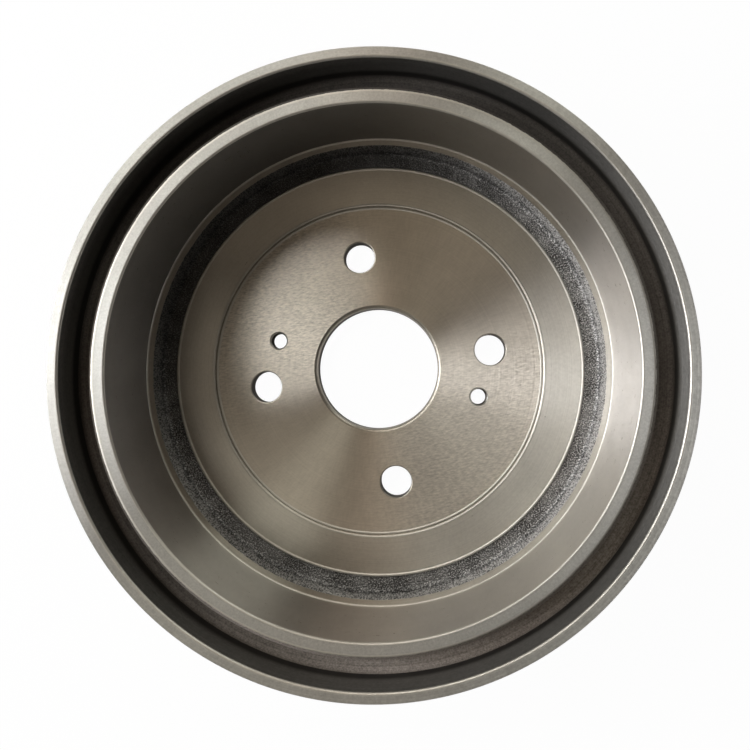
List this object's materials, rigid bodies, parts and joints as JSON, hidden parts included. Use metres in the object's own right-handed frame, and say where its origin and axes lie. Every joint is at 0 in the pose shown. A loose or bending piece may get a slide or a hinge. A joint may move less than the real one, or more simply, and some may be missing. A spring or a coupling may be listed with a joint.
{
  "type": "brake drum",
  "caption": "Cast-iron brake drum with a turned friction ring, a deep grooved rim, a pilot bore, stud holes and tapped jack-screw holes.",
  "frame": {"origin": "centre of the face that the wheel bolts against, which is also the bottom of the part", "axes": "+Z along the drum's axis, out of its open mouth; +X through one of the stud holes"},
  "size_m": [0.2384, 0.2384, 0.0604],
  "materials": {
    "cast_iron": "turned bright on its working faces, as cast in the trough, the rim groove and on the outside"
  },
  "bodies": {
    "root": {"brake_drum": "cast_iron"}
  },
  "joints": []
}
